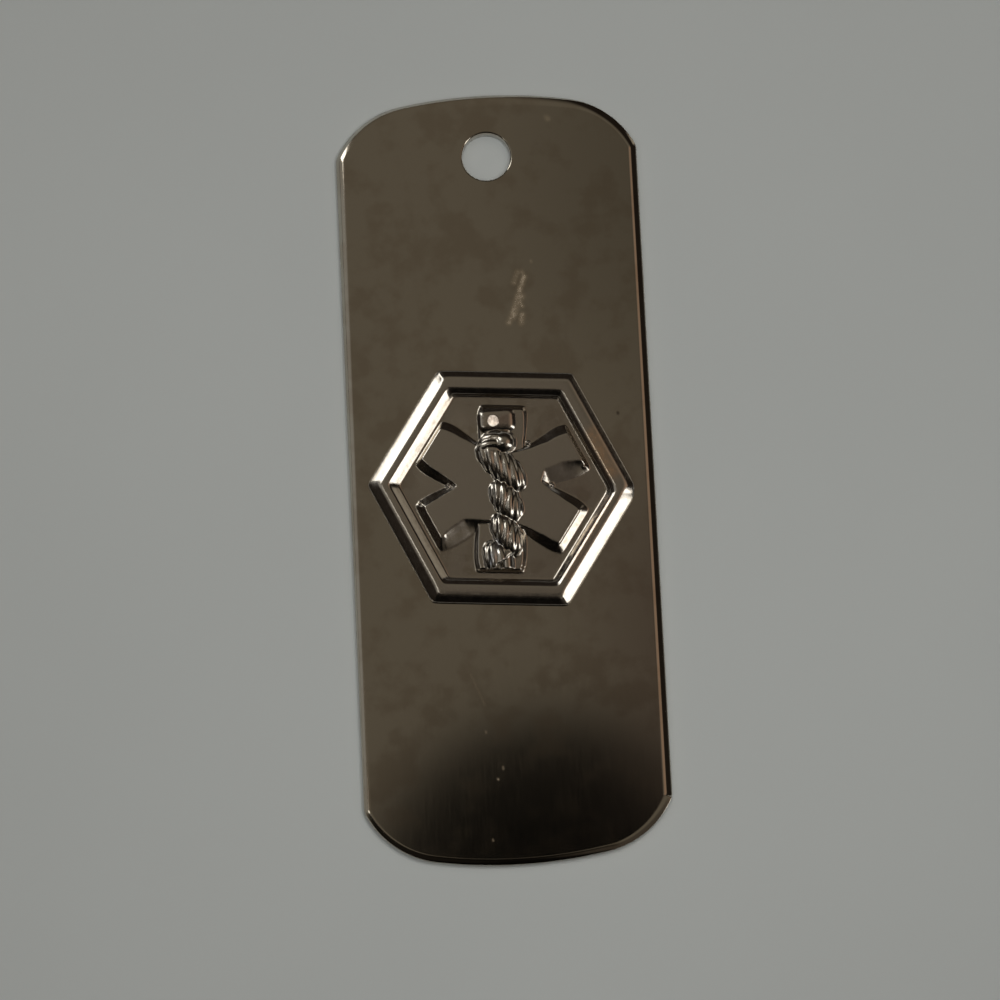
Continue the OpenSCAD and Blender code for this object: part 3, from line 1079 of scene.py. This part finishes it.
def build_world(settings):
    """A dim warm room: a ceiling glow that falls off, a pale horizon, and a few soft patches."""
    world = bpy.data.worlds.new("dim_room")
    world.use_nodes = True
    bpy.context.scene.world = world
    t = Tree(world.node_tree)
    background = world.node_tree.nodes["Background"]
    patch = group(
        "Sky patch",
        {"Direction": ("Vector", None), "Towards": ("Vector", None),
         "Rim": ("Float", 0.9), "Core": ("Float", 0.95)},
        {"Share": ("Float", None)}, sky_patch)
    direction = t.add("ShaderNodeTexCoord").outputs["Generated"]
    up = t.add("ShaderNodeSeparateXYZ", {0: direction}).outputs[2]
    sky = t.mix(t.ramp(up, 0.90, 0.72), settings.ceiling, DARK_WALLS)
    sky = t.mix(t.ramp(up, 0.20, 0.08), sky, PALE_HORIZON)
    for zenith, azimuth, core, rim, tint in SURROUNDINGS:
        share = use(
            t, patch, Direction=direction, Towards=tuple(towards(zenith, azimuth)),
            Rim=math.cos(math.radians(rim)), Core=math.cos(math.radians(core)))["Share"]
        sky = t.mix(share, sky, tint)
    t.tree.links.new(sky, background.inputs["Color"])


def soft_box(name, zenith, azimuth, distance, width, height, radiance, tint):
    """A rectangular light that faces the tag and shows in polished metal alone."""
    light = bpy.data.lights.new(name, "AREA")
    light.shape = "RECTANGLE"
    light.size, light.size_y = width, height
    light.energy = radiance * math.pi * width * height
    light.color = tint
    obj = bpy.data.objects.new(name, light)
    bpy.context.scene.collection.objects.link(obj)
    way = towards(zenith, azimuth)
    obj.location = way * distance
    obj.rotation_euler = way.to_track_quat("Z", "Y").to_euler()
    obj.visible_camera = obj.visible_diffuse = False
    return obj


def build_stage(settings):
    """The pale floor, the soft lights and the camera at the photograph's angle."""
    bpy.ops.mesh.primitive_plane_add(size=6.0, location=(0, 0, 0))
    floor = named("floor")
    edit(floor)
    pick_all()
    bpy.ops.mesh.subdivide(number_cuts=3)
    close_edit()
    material, t, shader, where = new_material("pale_card")
    shader.inputs["Metallic"].default_value = 0.0
    shader.inputs["Specular IOR Level"].default_value = 0.0
    shader.inputs["Roughness"].default_value = 0.9
    soft = t.noise(where, 25.0, detail=3.0, rough=0.5)
    pale = settings.floor
    shade = [c * 0.97 for c in pale]
    t.tree.links.new(t.mix(t.ramp(soft, 0.3, 0.7), shade, pale), shader.inputs["Base Color"])
    floor.data.materials.append(material)

    build_world(settings)
    cool_white = (0.97, 1.0, 0.99)
    soft_box("upper_left_box", 46.0, 135.0, 0.5, 0.09, 0.31, 3.2, (1.0, 0.99, 0.96))
    soft_box("lower_right_box", 48.0, -25.0, 0.5, 0.12, 0.37, 2.8, (1.0, 0.98, 0.95))
    overhead = soft_box("overhead", 4.0, -30.0, 0.16, 0.06, 0.06, 6.3662, cool_white)
    overhead.visible_diffuse = True
    overhead.visible_glossy = False
    sun = bpy.data.lights.new("even_light", "SUN")
    sun.angle = math.radians(80)
    sun.energy = 0.30
    sun.color = cool_white
    glow = bpy.data.objects.new("even_light", sun)
    bpy.context.scene.collection.objects.link(glow)
    glow.visible_glossy = False

    # Where the middle of the tag's face lies in the camera's own axes, in millimetres
    seen_at = Vector((0.126, 1.721, -217.606))
    turn = Matrix.Rotation(settings.tilt, 3, "X") @ Matrix.Rotation(settings.roll, 3, "Z")
    camera = bpy.data.cameras.new("camera")
    camera.lens, camera.sensor_width = settings.focal, 36.0
    camera.clip_start, camera.clip_end = 0.005, 50.0
    view = bpy.data.objects.new("camera", camera)
    bpy.context.scene.collection.objects.link(view)
    place = (turn.transposed() @ -seen_at + Vector((0.0, 0.0, FACE_HEIGHT))) * MM
    view.matrix_world = Matrix.Translation(place) @ turn.transposed().to_4x4()
    bpy.context.scene.camera = view
    bpy.context.scene.view_settings.view_transform = "Standard"


# The add-on's operators, panel and registration


class TAG_OT_stage(bpy.types.Operator):
    """Lay the floor and set the lights and the camera"""

    bl_idname = "tag.stage"
    bl_label = "Stage"

    def execute(self, context):
        build_stage(context.scene.tag_stage)
        return {"FINISHED"}


class TAG_OT_blank(bpy.types.Operator):
    """Stamp the steel blank with its rolled edge and chain hole"""

    bl_idname = "tag.blank"
    bl_label = "Blank"

    def execute(self, context):
        settings = context.scene.tag_blank
        blank = build_blank(settings)
        dress(blank, plate_steel(settings, shared_groups()), ["tag_plate"])
        return {"FINISHED"}


class TAG_OT_badge(bpy.types.Operator):
    """Strike the badge: frame, six-armed figure, staff and serpent in one relief"""

    bl_idname = "tag.badge"
    bl_label = "Badge"

    def execute(self, context):
        settings = context.scene.tag_badge
        badge = build_badge(settings)
        dress(badge, badge_steel(settings, shared_groups()), ["emblem"])
        return {"FINISHED"}


class TAG_PT_sidebar(bpy.types.Panel):
    """Lists the tag's pieces and their settings"""

    bl_label = "Identification tag"
    bl_idname = "TAG_PT_sidebar"
    bl_space_type = "VIEW_3D"
    bl_region_type = "UI"
    bl_category = "Tag"

    def draw(self, context):
        for operator, group_name in STEPS:
            box = self.layout.box()
            box.operator(operator)
            settings = getattr(context.scene, group_name)
            for name in settings.bl_rna.properties.keys():
                if name not in ("rna_type", "name"):
                    box.prop(settings, name)


STEPS = (("tag.stage", "tag_stage"), ("tag.blank", "tag_blank"), ("tag.badge", "tag_badge"))
CLASSES = (
    BlankSettings, BadgeSettings, StageSettings,
    TAG_OT_stage, TAG_OT_blank, TAG_OT_badge, TAG_PT_sidebar,
)
made_groups = {}


def shared_groups():
    """The shader groups, built once."""
    if not made_groups:
        made_groups.update(build_groups())
    return made_groups


def register():
    for cls in CLASSES:
        bpy.utils.register_class(cls)
    bpy.types.Scene.tag_blank = bpy.props.PointerProperty(type=BlankSettings)
    bpy.types.Scene.tag_badge = bpy.props.PointerProperty(type=BadgeSettings)
    bpy.types.Scene.tag_stage = bpy.props.PointerProperty(type=StageSettings)


def unregister():
    for name in ("tag_stage", "tag_badge", "tag_blank"):
        delattr(bpy.types.Scene, name)
    for cls in reversed(CLASSES):
        bpy.utils.unregister_class(cls)


def main():
    register()
    bpy.ops.tag.stage()
    bpy.ops.tag.blank()
    bpy.ops.tag.badge()


if __name__ == "__main__":
    main()
